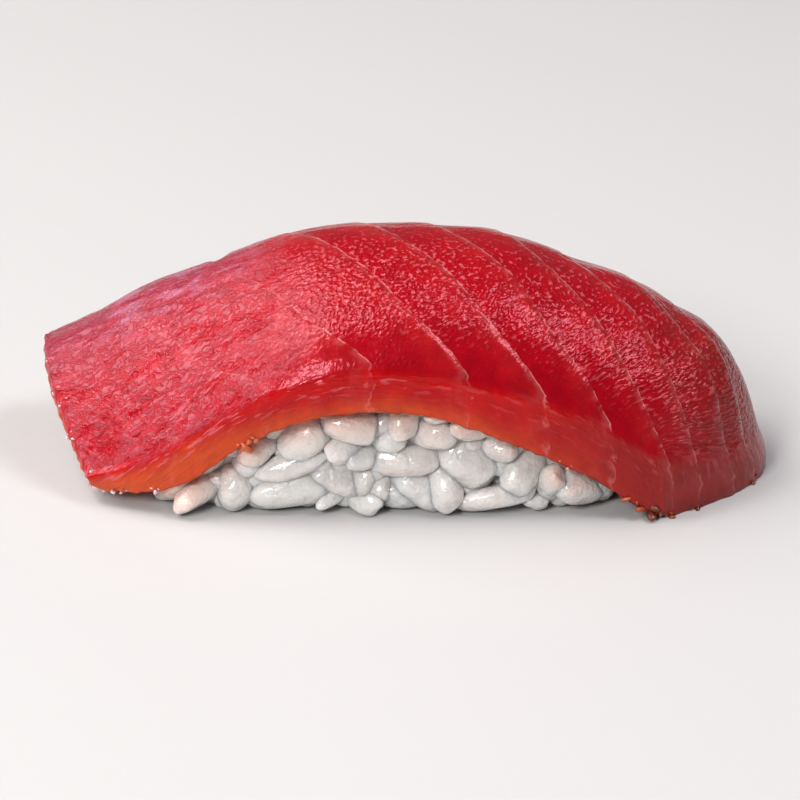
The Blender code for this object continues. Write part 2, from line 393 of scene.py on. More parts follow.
tunaLook = {
    "deep": (0.31, 0.0008, 0.006, 1),
    "warm": (0.42, 0.020, 0.018, 1),
    # pink of the wrinkle plateaus: a painted sheen
    "plateauSheen": (0.38, 0.058, 0.076, 1),
    "groove": (0.40, 0.003, 0.010, 1),
    "gap": (0.38, 0.002, 0.009, 1),
    "end": (0.17, 0.016, 0.012, 1),
    "sideTop": (0.47, 0.004, 0.002, 1),
    # orange of the lower sides: a painted glow of light through the flesh
    "sideLowGlow": (0.58, 0.066, 0.010, 1),
    "sinew": (0.80, 0.27, 0.26, 1),
    # pink of painted highlights: specks on the beads and gleams on the sides
    "glintPaint": (0.72, 0.17, 0.20, 1),
    # mauve of the film, partly a painted sheen
    "filmAndSheen": (0.48, 0.19, 0.30, 1),
    # painted shade towards the back of the left end
    "backShade": (0.27, 0.030, 0.055, 1),
    "sheen": (1.0, 0.38, 0.46, 1),
    "roughTop": 0.19,
    "roughSide": 0.14,
    "roughGroove": 0.35,
    "ior": 1.5,
    "glow": 0.2,
    "glowDepth": 1.5,
}


def tunaMaterial():
    look = tunaLook
    material, tree, shader = startMaterial("rawTuna")
    skin, u, v, down = stored(tree, "skin")
    place, x, y, z = stored(tree, "place")
    flake, cosine, sine, width = stored(tree, "flake")
    edge, side, drop, relief = stored(tree, "edge")
    flat = put(tree, "ShaderNodeCombineXYZ", {0: u, 1: v}).outputs[0]

    # places: left third, right part, right end, back slope
    patchy = cloud(tree, flat, 5.0, 3.0)
    wandering = calc(tree, "ADD", x, calc(tree, "MULTIPLY", calc(tree, "SUBTRACT", patchy, 0.5), 16.0))
    leftShare = between(tree, wandering, -7.0, -18.0)
    rightShare = between(tree, wandering, 4.0, 20.0)
    endShare = between(tree, wandering, 24.0, 38.0)
    backShare = between(tree, y, 1.0, 7.0)

    # flakes: deep red past the left seam, warmer and clearer towards the right seam
    angle = calc(tree, "ARCTAN2", sine, cosine)
    turn = calc(tree, "FRACT", calc(tree, "DIVIDE", angle, 2 * math.pi))
    rise = calc(tree, "MULTIPLY", between(tree, turn, 0.30, 1.0), between(tree, patchy, 0.3, 0.65, 0.35, 1.0))
    rise = calc(tree, "MULTIPLY", rise, mixValue(tree, backShare, 0.3, 0.95))
    colour = mixColour(tree, rise, look["deep"], look["warm"])

    # beads of wet flesh in the middle and on the right, with pink specks on them that are painted highlights
    beadA = cloud(tree, flat, 0.5, 1.4, 0.45)
    beadB = cloud(tree, moved(tree, flat, (1, 0.7, 1), -0.9), 0.46, 1.4, 0.45)
    beads = mixValue(tree, rightShare, beadA, beadB)
    crowd = calc(tree, "MULTIPLY", between(tree, y, 5.0, -1.5, 0.12, 1.0), between(tree, y, -12.5, -9.5))
    crowd = calc(tree, "MULTIPLY", crowd, between(tree, cloud(tree, flat, 3.2, 2.0), 0.30, 0.50, 0.4, 1.0))
    paintedGlints = calc(tree, "MULTIPLY", between(tree, beads, 0.56, 0.64), crowd)
    colour = mixColour(tree, calc(tree, "MULTIPLY", paintedGlints, 0.42), colour, look["glintPaint"])

    # wrinkled plateaus on the left, cut by thin grooves and long smooth gaps; the pink of the plateaus is a painted
    # sheen, the grooves and gaps keep a clear red
    warp = put(tree, "ShaderNodeTexNoise", {"Vector": flat, "Scale": 1 / 0.8, "Detail": 2.0})
    warped = put(tree, "ShaderNodeMix", {0: 0.5, 4: flat, 5: warp.outputs["Color"]},
                 data_type="VECTOR").outputs[1]
    warpedSkin = put(tree, "ShaderNodeMix", {0: 0.25, 4: flat, 5: warp.outputs["Color"]},
                     data_type="VECTOR").outputs[1]
    wrinkleA = cloud(tree, moved(tree, warped, (0.58, 1, 1)), 0.34, 1.0)
    wrinkleB = cloud(tree, moved(tree, warped, (0.48, 1, 1), 0.35, (7, 3, 0)), 0.42, 1.0)
    lineA = calc(tree, "ABSOLUTE", calc(tree, "SUBTRACT", wrinkleA, 0.5))
    lineB = calc(tree, "ABSOLUTE", calc(tree, "SUBTRACT", wrinkleB, 0.5))
    crease = calc(tree, "MINIMUM", lineA, lineB)
    grooves = between(tree, crease, 0.070, 0.018)
    hollow = cloud(tree, moved(tree, warped, (0.26, 1, 1), 0.0, (2, 9, 0)), 0.50, 1.0)
    gaps = between(tree, hollow, 0.55, 0.60)
    leftColour = mixColour(tree, calc(tree, "MULTIPLY", grooves, 0.85), look["plateauSheen"], look["groove"])
    leftColour = mixColour(tree, gaps, leftColour, look["gap"])
    colour = mixColour(tree, calc(tree, "MULTIPLY", leftShare, 0.85), colour, leftColour)
    colour = mixColour(tree, calc(tree, "MULTIPLY", endShare, 0.75), colour, look["end"])

    # painted shade: darker towards the back of the left end, with streaks of a mauve film there too
    shadedBackLeft = calc(tree, "MULTIPLY", between(tree, x, -12.0, -23.0), between(tree, y, -3.0, 5.0))
    colour = mixColour(tree, calc(tree, "MULTIPLY", shadedBackLeft, 0.8), colour, look["backShade"])
    # the mauve of the film is partly a painted sheen
    filmAndSheen = between(tree, cloud(tree, moved(tree, flat, (0.35, 1, 1)), 1.3, 3.0), 0.47, 0.60)
    filmAndSheen = calc(tree, "MULTIPLY", filmAndSheen, calc(tree, "MULTIPLY", shadedBackLeft, between(tree, x, -36.0, -30.0)))
    colour = mixColour(tree, calc(tree, "MULTIPLY", filmAndSheen, 0.5), colour, look["filmAndSheen"])

    # cut sides: red above, with faint fibres; the orange at the lower edge of the left half is a painted glow of light
    # through the thin flesh
    fibre = cloud(tree, moved(tree, flat, (0.10, 1, 1)), 0.3, 2.0)
    glowLevel = calc(tree, "ADD", calc(tree, "ADD", drop, calc(tree, "MULTIPLY", patchy, 0.4)),
                   between(tree, x, -9.0, -25.0, 0.0, 0.45))
    glowShare = calc(tree, "MULTIPLY", between(tree, glowLevel, 0.70, 1.30), between(tree, x, 6.0, 24.0, 1.0, 0.3))
    sideColour = mixColour(tree, glowShare, look["sideTop"], look["sideLowGlow"])
    sideColour = mixColour(tree, calc(tree, "MULTIPLY", between(tree, x, 6.0, 34.0), 0.85), sideColour,
                           look["end"])
    streaks = cloud(tree, moved(tree, warpedSkin, (0.17, 1, 1), 0.06), 0.36, 1.5)
    # painted highlights: pale streaks along the upper part of the left sides
    paintedGleams = calc(tree, "MULTIPLY", between(tree, streaks, 0.58, 0.66), between(tree, drop, 0.75, 0.3))
    paintedGleams = calc(tree, "MULTIPLY", paintedGleams, between(tree, x, 6.0, -8.0, 0.15, 0.55))
    sideColour = mixColour(tree, paintedGleams, sideColour, look["glintPaint"])
    sideShare = calc(tree, "MULTIPLY", between(tree, calc(tree, "ADD", down, patchy), 0.2, 2.4), side)
    colour = mixColour(tree, sideShare, colour, sideColour)
    fibreShade = between(tree, fibre, 0.3, 0.7, 0.93, 1.04)
    mottle = between(tree, cloud(tree, flat, 2.6, 3.0, 0.6), 0.3, 0.7, 0.88, 1.10)
    shade = calc(tree, "MULTIPLY", fibreShade, mottle)
    shadeColour = put(tree, "ShaderNodeCombineColor", {0: shade, 1: shade, 2: shade}).outputs[0]
    colour = mixColour(tree, 1.0, colour, shadeColour, "MULTIPLY")

    # seams: a thin pale line of sinew, sharp on its right, fading to its left, broken here and there
    wobble = calc(tree, "MULTIPLY", calc(tree, "SUBTRACT", cloud(tree, flat, 1.3, 2.0), 0.5), mixValue(tree, side, 0.7, 2.6))
    away = calc(tree, "MULTIPLY", calc(tree, "DIVIDE", angle, 2 * math.pi), width)
    away = calc(tree, "ADD", away, wobble)
    away = calc(tree, "DIVIDE", away, mixValue(tree, side, 1.0, 2.4))
    thin = calc(tree, "MULTIPLY", between(tree, away, 0.09, 0.0), between(tree, away, -0.20, -0.02))
    broad = calc(tree, "MULTIPLY", between(tree, away, 0.12, 0.0), between(tree, away, -1.4, -0.1))
    broken = between(tree, cloud(tree, flat, 1.9, 2.0), 0.40, 0.60, 0.05, 1.0)
    line = calc(tree, "ADD", calc(tree, "MULTIPLY", thin, 0.42), calc(tree, "MULTIPLY", broad, 0.13))
    line = calc(tree, "MULTIPLY", line, broken)
    line = calc(tree, "MULTIPLY", line, calc(tree, "SUBTRACT", 1.0, calc(tree, "MULTIPLY", leftShare, 0.6)))
    colour = mixColour(tree, calc(tree, "MULTIPLY", line, mixValue(tree, side, 1.0, 0.45)), colour, look["sinew"])
    tree.links.new(colour, shader.inputs["Base Color"])

    # relief of the wet skin
    tilt = cloud(tree, moved(tree, flat, (0.5, 1, 1)), 0.9, 2.0)
    cuts = calc(tree, "MULTIPLY", calc(tree, "MINIMUM", crease, 0.07), 0.65)
    dips = calc(tree, "MULTIPLY", calc(tree, "MAXIMUM", calc(tree, "SUBTRACT", hollow, 0.56), 0.0), -0.7)
    leftSkin = calc(tree, "ADD", calc(tree, "ADD", cuts, dips), calc(tree, "MULTIPLY", tilt, 0.10))
    beadSkin = calc(tree, "MULTIPLY", beads, mixValue(tree, crowd, 0.06, 0.26))
    sideSkin = calc(tree, "MULTIPLY", streaks, between(tree, x, 10.0, -4.0, 0.08, 0.20))
    topSkin = mixValue(tree, leftShare, beadSkin, leftSkin)
    height = mixValue(tree, side, topSkin, sideSkin)
    addBump(tree, shader, height)

    rough = mixValue(tree, side, look["roughTop"], look["roughSide"])
    creased = calc(tree, "MULTIPLY", grooves, calc(tree, "MULTIPLY", leftShare, calc(tree, "SUBTRACT", 1.0, side)))
    rough = mixValue(tree, creased, rough, look["roughGroove"])
    tree.links.new(rough, shader.inputs["Roughness"])
    shader.inputs["IOR"].default_value = look["ior"]
    shader.inputs["Specular Tint"].default_value = look["sheen"]
    shader.inputs["Subsurface Weight"].default_value = look["glow"]
    shader.inputs["Subsurface Radius"].default_value = (1.0, 0.16, 0.09)
    shader.inputs["Subsurface Scale"].default_value = look["glowDepth"] * mm
    return material


sliceMesh, sliceShare = buildSliceMesh()
sliceBox = readPoints(sliceMesh)
lowCorner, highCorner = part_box("tuna_slice")
drawnMiddle = (sliceBox.min(0) + sliceBox.max(0)) / 2
frameMiddle = (np.array(lowCorner) + np.array(highCorner)) / 2 / mm
shift = np.array([frameMiddle[0] - drawnMiddle[0], frameMiddle[1] - drawnMiddle[1], 0.0])


# shreds and crumbs on the slice's rims: share along it, across it, height share from -1 to 1,
# size in millimetres, how much longer than wide, tone from 0 pale to 1 orange to 2 brown
crumbs = {
    "seed": 11,
    "laid": (
        (-1.0, -1.0, -1.0, 0.42, 1.5, 0.0), (-0.97, -1.0, -1.0, 0.30, 1.2, 0.1), (-0.93, -1.0, -1.0, 0.36, 1.8, 0.0),
        (-0.90, -1.0, -1.0, 0.24, 1.2, 0.2), (-0.76, -1.0, -1.0, 0.30, 1.6, 0.1), (-1.0, -1.0, 0.9, 0.22, 1.3, 0.3),
        (-1.0, -0.72, 0.8, 0.24, 1.3, 0.1), (-1.0, -0.60, 0.3, 0.26, 1.6, 0.0), (-1.0, -0.44, 0.9, 0.20, 1.2, 0.2),
        (-1.0, -0.20, 0.6, 0.18, 1.4, 0.1), (-1.0, 0.10, 0.9, 0.16, 1.2, 0.1), (-1.0, 0.55, -0.9, 0.30, 1.5, 0.2),
        (-0.44, -1.0, -1.0, 0.75, 1.5, 1.0), (-0.46, -1.0, -1.0, 0.45, 1.2, 1.0), (-0.40, -1.0, -1.0, 0.40, 1.6, 0.8),
        (0.86, -1.0, -1.0, 0.44, 2.0, 1.2), (0.92, -1.0, -1.0, 0.60, 1.8, 1.4), (0.96, -1.0, -1.0, 0.70, 1.9, 1.9),
        (1.0, -0.96, -1.0, 0.50, 1.6, 1.6), (1.0, -0.84, -1.0, 0.36, 2.0, 2.0), (0.66, -1.0, -1.0, 0.24, 1.4, 0.6),
        (1.0, -0.4, -0.9, 0.30, 1.5, 1.8),
        (1.0, 0.3, -0.9, 0.32, 1.5, 1.2), (0.5, 1.0, -0.95, 0.40, 1.8, 0.8), (0.1, 1.0, -0.95, 0.34, 1.5, 0.9),
        (-0.5, 1.0, -0.95, 0.38, 1.7, 0.6),
    ),
}


def buildCrumbMesh(slicePoints, sliceNormals):
    dice = random.Random(crumbs["seed"])
    bit = bmesh.new()
    bmesh.ops.create_icosphere(bit, subdivisions=2, radius=1.0)
    template = meshFrom(bit, "oneCrumb")
    unit = readPoints(template)
    heap = bmesh.new()
    points, tones = [], []
    for along, across, level, size, longer, tone in crumbs["laid"]:
        for companion in range(3):
            spot = np.array([along, across, level])
            if companion:
                spot = spot + np.array([dice.uniform(-0.03, 0.03), dice.uniform(-0.05, 0.05), dice.uniform(0, 0.2)])
            nearest = np.argmin(((sliceShare - spot) ** 2).sum(1))
            small = size * (1.5, 0.9, 0.6)[companion] / 2
            heading = Vector((dice.gauss(0, 1), dice.gauss(0, 1), dice.gauss(0, 0.5))).normalized()
            turn = np.array(heading.to_track_quat("Z", "Y").to_matrix())
            shape = unit * (1 + 0.35 * roughen(unit, 0.8, (1, 1, 1), dice.uniform(0, 60)))[:, None]
            shape = (shape * (small, small * dice.uniform(0.6, 1.0), small * longer)) @ turn.T
            heap.from_mesh(template)
            points.append(shape + slicePoints[nearest] + sliceNormals[nearest] * small * 0.15)
            tones.append(np.full(len(unit), tone))
    bpy.data.meshes.remove(template)
    mesh = meshFrom(heap, "crumbs")
    points, tones = np.concatenate(points), np.concatenate(tones)
    points[:, 2] = np.maximum(points[:, 2], 0.01)
    writePoints(mesh, points)
    keep(mesh, "tone", tones, 0 * tones, 0 * tones)
    return mesh


crumbLook = {
    "pale": (0.74, 0.52, 0.50, 1),
    "orange": (0.52, 0.10, 0.03, 1),
    "brown": (0.13, 0.030, 0.014, 1),
    "roughness": 0.22,
}


def crumbMaterial():
    look = crumbLook
    material, tree, shader = startMaterial("fishCrumb")
    tone, amount, second, third = stored(tree, "tone")
    where = put(tree, "ShaderNodeTexCoord").outputs["Object"]
    millimetres = moved(tree, where, (1 / mm, 1 / mm, 1 / mm))
    colour = mixColour(tree, between(tree, amount, 0.0, 1.0), look["pale"], look["orange"])
    colour = mixColour(tree, between(tree, amount, 1.0, 2.0), colour, look["brown"])
    mottle = between(tree, cloud(tree, millimetres, 0.4, 2.0), 0.3, 0.7, 0.8, 1.15)
    shade = put(tree, "ShaderNodeCombineColor", {0: mottle, 1: mottle, 2: mottle}).outputs[0]
    tree.links.new(mixColour(tree, 1.0, colour, shade, "MULTIPLY"), shader.inputs["Base Color"])
    addBump(tree, shader, calc(tree, "MULTIPLY", cloud(tree, millimetres, 0.2, 2.0), 0.06))
    shader.inputs["Roughness"].default_value = look["roughness"]
    shader.inputs["Subsurface Weight"].default_value = 0.3
    shader.inputs["Subsurface Radius"].default_value = (1.0, 0.4, 0.3)
    shader.inputs["Subsurface Scale"].default_value = 0.6 * mm
    return material


def settle(mesh):
    # from the drawing's millimetres to the frame's metres
    writePoints(mesh, (readPoints(mesh) + shift) * mm)
    return mesh


crumbMesh = buildCrumbMesh(sliceBox, readPoints(sliceMesh, "normal"))
tunaFinish = tunaMaterial()
addPiece(settle(sliceMesh), tunaFinish, "raw_tuna", "tuna_slice")
addPiece(settle(crumbMesh), crumbMaterial(), "raw_tuna")
print("slice:", len(sliceMesh.polygons), "faces, moved by", shift)


# ball of rice, in millimetres

rice = {
    "length": 49.4,
    "width": 25.0,
    "centre": (-2.1, 0.1),
    "corner": 7.0,
    "seed": 4,
    "rows": 6,
    "rowRise": 2.5,
    "step": 5.6,
    "grainLong": 6.4,
    "grainThick": 3.0,
    # how deep the layers lie behind the wall
    "outerLayer": 1.3,
    "innerLayer": 3.2,
    "backingLayer": 2.7,
    "coreDepth": 2.9,
    "gap": 0.3,
    # the laid front grains swell to press on each other
    "frontLonger": 1.10,
    "frontPlumper": 1.27,
}

# the grains that show in front, laid one by one:
# x, height, tilt in degrees, length, thickness, how far behind the foremost
frontGrains = (
    (-24.5, 2.5, 45, 4.5, 3.0, 0.5), (-22.0, 1.5, 30, 4.5, 3.0, 0.0), (-18.0, 3.5, 80, 4.0, 4.0, 0.5),
    (-18.5, 1.0, 0, 3.0, 2.0, 1.0), (-15.5, 8.0, 20, 3.5, 3.0, 0.5), (-10.5, 9.5, 35, 5.5, 4.0, 0.0),
    (-5.5, 10.5, -10, 6.5, 3.0, 0.0), (-12.0, 6.0, 20, 8.0, 2.5, 0.5), (-12.0, 3.0, 5, 8.0, 3.5, 0.0),
    (-6.0, 8.0, -5, 4.0, 2.5, 0.5), (-3.5, 7.5, 5, 4.5, 2.5, 1.0), (-7.0, 4.5, -25, 5.5, 3.0, 0.5),
    (-4.5, 4.5, -15, 5.0, 4.0, 1.0), (-7.5, 2.5, 20, 3.5, 2.0, 1.0), (-13.0, 1.5, 5, 7.5, 2.5, 1.0),
    (-4.5, 1.5, -20, 4.0, 2.5, 0.5), (0.0, 6.5, 0, 7.0, 3.0, 0.0), (6.5, 6.5, -40, 7.0, 4.5, 0.0),
    (4.0, 4.0, -70, 4.5, 3.5, 0.0), (1.5, 2.0, -35, 6.0, 4.0, 0.0), (9.5, 2.0, 10, 8.0, 2.5, 0.0),
    (12.5, 5.5, 40, 4.5, 3.5, 0.5), (9.5, 8.0, 20, 4.0, 3.0, 1.0), (2.5, 10.0, 5, 5.0, 3.0, 0.5),
    (0.0, 11.5, 75, 3.5, 2.5, 0.5), (4.0, 12.0, -15, 3.5, 2.0, 0.5), (7.0, 10.5, -20, 4.5, 2.5, 0.5),
    (15.5, 4.0, 75, 4.5, 3.0, 0.5), (18.0, 3.5, -25, 4.5, 4.0, 0.0), (20.5, 2.5, -70, 3.5, 3.0, 1.0),
    (6.5, 3.5, 60, 3.5, 2.5, 1.5), (-2.0, 9.0, 40, 4.0, 3.0, 1.0), (-3.0, 3.0, 20, 5.0, 3.5, 1.0),
    (-0.5, 1.0, -15, 5.5, 3.0, 0.5), (14.0, 1.5, 0, 3.0, 2.0, 1.0),
)


def ricePlan(a, b):
    # point on the ball's wall seen from above, and the way out of it, towards a unit square's rim
    half = Vector((rice["length"] / 2, rice["width"] / 2))
    reach = max(abs(a), abs(b), 1e-6)
    point = Vector((a / reach * half.x, b / reach * half.y))
    core = half - Vector((rice["corner"], rice["corner"]))
    past = Vector((max(abs(point.x) - core.x, 0.0), max(abs(point.y) - core.y, 0.0)))
    if past.length > rice["corner"]:
        past *= rice["corner"] / past.length
        point.x = math.copysign(core.x + past.x, point.x) if past.x > 0 else point.x
        point.y = math.copysign(core.y + past.y, point.y) if past.y > 0 else point.y
    outward = Vector((math.copysign(past.x, point.x), math.copysign(past.y, point.y)))
    return point + Vector(rice["centre"]), outward.normalized()


def rimSpot(distance):
    # spot on a unit square's rim for a distance round the ball, from its front left corner
    sides = ((-1, -1, 2, 0, rice["length"]), (1, -1, 0, 2, rice["width"]),
             (1, 1, -2, 0, rice["length"]), (-1, 1, 0, -2, rice["width"]))
    for a, b, runA, runB, length in sides:
        if distance <= length:
            break
        distance -= length
    share = min(distance / length, 1.0)
    return a + runA * share, b + runB * share


def layFront(dice):
    # grains as centre, heading of the long axis, half length, half thickness, way out, held
    grains = []
    halfLength, halfWidth = rice["length"] / 2, rice["width"] / 2
    lookDown = math.tan(math.radians(27))
    for x, height, tilt, seen, thick, back in frontGrains:
        seen, thick = seen * rice["frontLonger"], thick * rice["frontPlumper"]
        past = max(abs(x - rice["centre"][0]) - (halfLength - rice["corner"]), 0.0)
        recede = rice["corner"] - math.sqrt(max(rice["corner"] ** 2 - past ** 2, 1.0))
        front = rice["centre"][1] - halfWidth - 0.3 + recede * 0.7
        y = front + thick / 2 + back
        z = height - (y - front - 0.8) * lookDown
        length = seen if seen > 6 or seen < 3.6 else seen * 1.3
        turned = math.acos(seen / length) * dice.choice((-1, 1))
        tilt = math.radians(tilt)
        heading = Vector((math.cos(tilt) * math.cos(turned), math.sin(turned),
                          math.sin(tilt) * math.cos(turned)))
        z = max(z, 0.42 * thick + abs(heading.z) * (length - thick) / 2)
        grains.append((Vector((x, y, z)), heading, length / 2, thick / 2, Vector((0, -1, 0)), 1.0))
    return grains


def layWall(dice):
    grains = []
    around = 2 * (rice["length"] + rice["width"])
    count = round(around / rice["step"])
    for depth in (rice["outerLayer"], rice["innerLayer"]):
        for row in range(rice["rows"]):
            for spot in range(count):
                shareRound = (spot + 0.5 + 0.5 * (row % 2) + dice.uniform(-0.22, 0.22)) / (count + 1)
                point, outward = ricePlan(*rimSpot(around * shareRound))
                inner = point - outward * (depth + dice.uniform(-0.3, 0.3))
                z = 1.35 + rice["rowRise"] * row + dice.uniform(-0.35, 0.35)
                half = rice["grainLong"] / 2 * dice.uniform(0.8, 1.1) * dice.choice((1, 1, 1, 1, 0.7))
                thick = rice["grainThick"] / 2 * dice.uniform(0.95, 1.25)
                angle = math.atan2(outward.y, outward.x) + math.pi / 2 + dice.gauss(0, 0.5)
                rise = dice.gauss(0, 0.42)
                front = outward.y < -0.6 and depth < 2
                if front or z > float(underSlice(inner.x, inner.y)) - 0.8:
                    continue
                heading = Vector((math.cos(angle) * math.cos(rise), math.sin(angle) * math.cos(rise),
                                  math.sin(rise)))
                grains.append((Vector((inner.x, inner.y, z)), heading, half, thick, outward.to_3d(), 0.0))
    return grains


def layBacking(dice):
    # grains close behind the front ones, so that no hollow shows between those
    grains = []
    front = rice["centre"][1] - rice["width"] / 2 + rice["backingLayer"]
    for row in range(rice["rows"] + 1):
        for spot in range(13):
            x = rice["centre"][0] + (spot + 0.5 * (row % 2) - 6) * 3.7 + dice.uniform(-0.6, 0.6)
            past = max(abs(x - rice["centre"][0]) - (rice["length"] / 2 - rice["corner"]), 0.0)
            y = front + dice.uniform(-0.3, 0.5) + 0.16 * past ** 1.6
            z = 1.2 + 2.1 * row + dice.uniform(-0.4, 0.4)
            thick = rice["grainThick"] / 2 * dice.uniform(0.95, 1.2)
            if z + thick > float(underSlice(x, y)) + 0.4 or past > rice["corner"] - 1:
                continue
            turned, tilt = dice.uniform(-0.5, 0.5), dice.uniform(-0.9, 0.9)
            heading = Vector((math.cos(turned) * math.cos(tilt), math.sin(turned), math.sin(tilt)))
            half = rice["grainLong"] / 2 * dice.uniform(0.6, 0.9)
            z = max(z, 0.9 * thick + abs(heading.z) * (half - thick))
            grains.append((Vector((x, y, z)), heading.normalized(), half, thick, Vector((0, -1, 0)), 1.0))
    return grains


def packGrains(grains):
    # pushes the grains apart until they barely press on each other; held ones stay put
    stops = np.array((-0.74, -0.4, 0.0, 0.4, 0.74))
    fat = np.array((0.7, 0.94, 1.0, 0.94, 0.7))
    centre, heading, half, thick, outward, held = (np.array(list(map(np.array, part)), float)
                                                   for part in zip(*grains))
    home = centre.copy()
    radius = (thick[:, None] * fat).ravel()
    owner = np.repeat(np.arange(len(grains)), len(stops))
    allowed = np.where(held[owner][:, None] + held[owner][None] > 0.5, 0.72, 0.92)
    reach = allowed * (radius[:, None] + radius[None])
    reach[owner[:, None] == owner[None]] = 0.0
    free = (1 - held)[:, None]
    for turn in range(60):
        balls = (centre[:, None] + heading[:, None] * (half[:, None] * stops)[..., None]).reshape(-1, 3)
        apart = balls[:, None] - balls[None]
        distance = np.sqrt((apart ** 2).sum(-1)) + 1e-6
        deep = np.maximum(reach - distance, 0.0)
        push = (apart / distance[..., None] * deep[..., None]).sum(1)
        push /= np.maximum((deep > 0).sum(1), 1)[:, None]
        move = np.zeros_like(centre)
        np.add.at(move, owner, push * 0.5)
        # nothing is pushed further out than it was laid
        outer = np.maximum(((centre + move - home) * outward).sum(1), 0.0)
        centre += (move - outer[:, None] * outward + (home - centre) * 0.04) * free
        balls = (centre[:, None] + heading[:, None] * (half[:, None] * stops)[..., None]).reshape(-1, 3)
        low = (radius * 0.94 - balls[:, 2]).reshape(len(grains), -1).max(1)
        centre[:, 2] += np.maximum(low, 0.0) * free[:, 0]
        roof = underSlice(balls[:, 0], balls[:, 1]) + 0.3
        high = (balls[:, 2] + radius - roof).reshape(len(grains), -1).max(1)
        centre[:, 2] -= np.maximum(high, 0.0) * 0.6 * free[:, 0]
    worst = deep.reshape(len(grains), -1).max(1)
    low = (radius * 0.9 - balls[:, 2]).reshape(len(grains), -1).max(1)
    stay = ((worst < 1.3) & (low < 0.6)) | (held > 0.5)
    return [(centre[i], heading[i], half[i], thick[i]) for i in np.nonzero(stay)[0]]


def shapedGrain(unit, dice, blunt):
    # a plump, slightly bent and dented grain from the points of a unit ball, long along Z
    along = unit[:, 2]
    plump = np.sqrt((1 - np.abs(along) ** 2.8) / np.maximum(1 - along ** 2, 1e-4))
    plump = np.clip(plump, 0.0, 1.4)
    points = unit * np.stack([plump, plump * dice.uniform(0.8, 0.95), np.ones_like(along)], 1)
    points[:, 0] += dice.uniform(-0.16, 0.16) * (along ** 2 - 0.3)
    points *= (1 + 0.17 * roughen(points, 0.9, (1, 1, 1.2), dice.uniform(0, 50)))[:, None]
    # faces where its neighbours press on it
    for press in range(3):
        way = Vector((dice.gauss(0, 1), dice.gauss(0, 1), dice.gauss(0, 0.6))).normalized()
        beyond = points @ np.array(way) - dice.uniform(0.72, 0.95)
        points -= np.outer(np.maximum(beyond, 0.0) * 0.75, way)
    if blunt:
        cut = dice.uniform(0.5, 0.75) + dice.uniform(-0.3, 0.3) * points[:, 0]
        points[:, 2] = np.where(points[:, 2] > cut, cut + 0.2 * (points[:, 2] - cut), points[:, 2])
    return points


def buildGrainMesh(name, grains, cuts):
    dice = random.Random(rice["seed"] + 1)
    ball = bmesh.new()
    bmesh.ops.create_uvsphere(ball, u_segments=cuts[0], v_segments=cuts[1], radius=1.0)
    template = meshFrom(ball, "oneGrain")
    unit = readPoints(template)
    heap = bmesh.new()
    points, chances = [], []
    for centre, heading, half, thick in grains:
        heap.from_mesh(template)
        turn = Vector(heading).to_track_quat("Z", "Y").to_matrix()
        turn = turn @ Matrix.Rotation(dice.uniform(0, 2 * math.pi), 3, "Z")
        shape = shapedGrain(unit, dice, dice.random() < 0.3 or half < 2.3) * (thick, thick, half)
        points.append(shape @ np.array(turn).T + centre)
        chances.append(np.full(len(unit), dice.random()))
    bpy.data.meshes.remove(template)
    mesh = meshFrom(heap, name)
    points, chances = np.concatenate(points), np.concatenate(chances)
    # flat where they stand, and flattened against the slice
    roof = underSlice(points[:, 0], points[:, 1])
    edge = tuna["frontEdge"][2][1] - 0.2
    pressed = (points[:, 2] > roof - 0.05) & (points[:, 1] > edge)
    points[:, 2] = np.where(pressed, roof - 0.05 + 0.1 * (points[:, 2] - roof), points[:, 2])
    points[:, 2] = np.maximum(points[:, 2], 0.02)
    writePoints(mesh, points)
    # small lumps where starch has set on them
    lumps = 0.16 * roughen(points, 1.1, (1, 1, 1), 12.0) + 0.07 * roughen(points, 0.5, (1, 1, 1), 77.0)
    points += readPoints(mesh, "normal") * lumps[:, None]
    points[:, 2] = np.maximum(points[:, 2], 0.02)
    writePoints(mesh, points)
    keep(mesh, "grain", chances, roof - points[:, 2], points[:, 2])
    return mesh


def buildCoreMesh():
    mesh = meshFrom(stripBlock((56, 30, 16)), "riceCore")
    centre = Vector(rice["centre"])
    points = []
    for a, b, level in readPoints(mesh):
        wall, outward = ricePlan(a, b)
        inner = centre + (wall - centre - outward * rice["coreDepth"]) * max(abs(a), abs(b))
        points.append((inner.x, inner.y, (level + 1) / 2))
    points = np.array(points)
    roof = underSlice(points[:, 0], points[:, 1]) - rice["gap"]
    points[:, 2] *= roof
    writePoints(mesh, points)
    lumps = 0.7 * roughen(points, 1.8, (1, 1, 1), 5.5)
    points[:, :2] += readPoints(mesh, "normal")[:, :2] * lumps[:, None]
    writePoints(mesh, points)
    keep(mesh, "grain", 0.5 + 0 * roof, roof - points[:, 2], points[:, 2])
    return mesh


riceLook = {
    "white": (0.79, 0.755, 0.72, 1),
    # pink of painted bounce light from the fish
    "fishBounce": (0.86, 0.52, 0.43, 1),
    "footGrey": (0.56, 0.58, 0.59, 1),
    "clear": (0.62, 0.56, 0.53, 1),
    "filmAndSheen": 1.0,
    "filmRoughness": 0.03,
    "roughness": 0.12,
    "ior": 1.45,
    "glow": 0.6,
}


